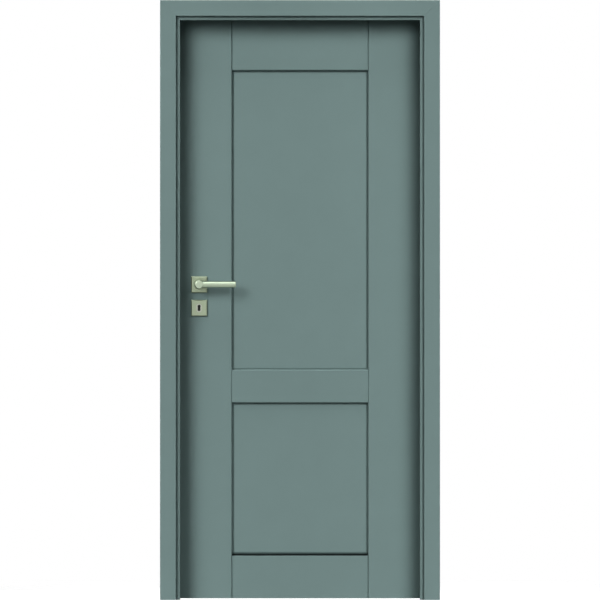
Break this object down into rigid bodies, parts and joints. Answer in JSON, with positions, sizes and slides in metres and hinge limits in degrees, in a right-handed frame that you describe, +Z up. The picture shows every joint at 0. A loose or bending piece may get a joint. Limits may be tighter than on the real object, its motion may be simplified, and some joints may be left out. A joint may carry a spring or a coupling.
{
  "type": "interior door set",
  "caption": "Rebated stile-and-rail interior door with flat recessed panels, hung in an adjustable lining with mitred casings, lever handles on square rosettes, mortise lock and pin hinges.",
  "frame": {"origin": "On the floor, midway across the clear opening, midway through the depth of the whole set with its levers.", "axes": "+Z up, +X towards the hinges, +Y towards the side the leaf opens to; the push side with the lining's reveal faces -Y."},
  "size_m": [0.952, 0.201, 2.04],
  "materials": {
    "paint": "matt grey-green paint on wood",
    "beech": "raw",
    "satin_nickel": "satin, anodised in a warm nickel shade",
    "nickel_steel": "satin nickel plated",
    "steel": "zinc plated",
    "seal": "matt",
    "nylon": "matt"
  },
  "bodies": {
    "frame": {"lining_lock_side": "paint", "lining_hinge_side": "paint", "lining_head": "paint", "front_casing_lock_side": "paint", "front_casing_hinge_side": "paint", "front_casing_head": "paint", "rebate_casing_lock_side": "paint", "rebate_casing_hinge_side": "paint", "rebate_casing_head": "paint", "rebate_seal": "seal", "mitre_splines": "beech", "corner_brackets": "steel", "bracket_screws": "steel", "strike_plate": "nickel_steel", "strike_screws": "nickel_steel", "hinge_frame_knuckles": "nickel_steel", "hinge_pins": "steel", "hinge_washers": "nylon"},
    "leaf": {"hinge_leaf_knuckles": "nickel_steel", "stile_lock_side": "paint", "stile_hinge_side": "paint", "top_rail": "paint", "middle_rail": "paint", "bottom_rail": "paint", "upper_panel": "paint", "lower_panel": "paint", "rail_dowels": "beech", "lock_case": "steel", "lock_cover": "steel", "lock_cover_screws": "steel", "forend": "nickel_steel", "forend_screws": "nickel_steel", "latch_spring": "steel", "follower_spring": "steel", "bolt_detent_spring": "steel", "front_rosette_base": "nylon", "back_rosette_base": "nylon", "front_rosette_cover": "satin_nickel", "back_rosette_cover": "satin_nickel", "front_bush": "nylon", "back_bush": "nylon", "front_key_base": "nylon", "back_key_base": "nylon", "front_key_cover": "satin_nickel", "back_key_cover": "satin_nickel", "front_keyhole_insert": "satin_nickel", "back_keyhole_insert": "satin_nickel", "rosette_sleeves": "steel", "rosette_through_bolts": "steel"},
    "handle": {"front_lever": "satin_nickel", "back_lever": "satin_nickel", "spindle": "steel", "follower": "steel", "lever_grub_screws": "steel"},
    "latch": {"latch_bolt": "nickel_steel"},
    "deadbolt": {"dead_bolt": "nickel_steel"}
  },
  "joints": [
    {"name": "leaf_swing", "type": "hinge", "parent": "frame", "child": "leaf", "pos_m": [0.4385, 0.033, 1.0225], "axis": [0, 0, -1], "range_deg": [0, 170]},
    {"name": "handle_turn", "type": "hinge", "parent": "leaf", "child": "handle", "pos_m": [-0.3435, 0.02, 1.073], "axis": [0, 1, 0], "range_deg": [0, 40], "stiffness_Nm_per_rad": 0.8, "springref_deg": -28.65, "deforming": ["follower_spring"]},
    {"name": "latch_slide", "type": "slide", "parent": "leaf", "child": "latch", "axis": [1, 0, 0], "range_m": [0, 0.012], "deforming": ["latch_spring"]},
    {"name": "deadbolt_throw", "type": "slide", "parent": "leaf", "child": "deadbolt", "axis": [-1, 0, 0], "range_m": [0, 0.014], "deforming": ["bolt_detent_spring"]}
  ],
  "couplings": [
    {"joint": "latch_slide", "follows": "handle_turn", "m_per_rad": 0.01718}
  ]
}
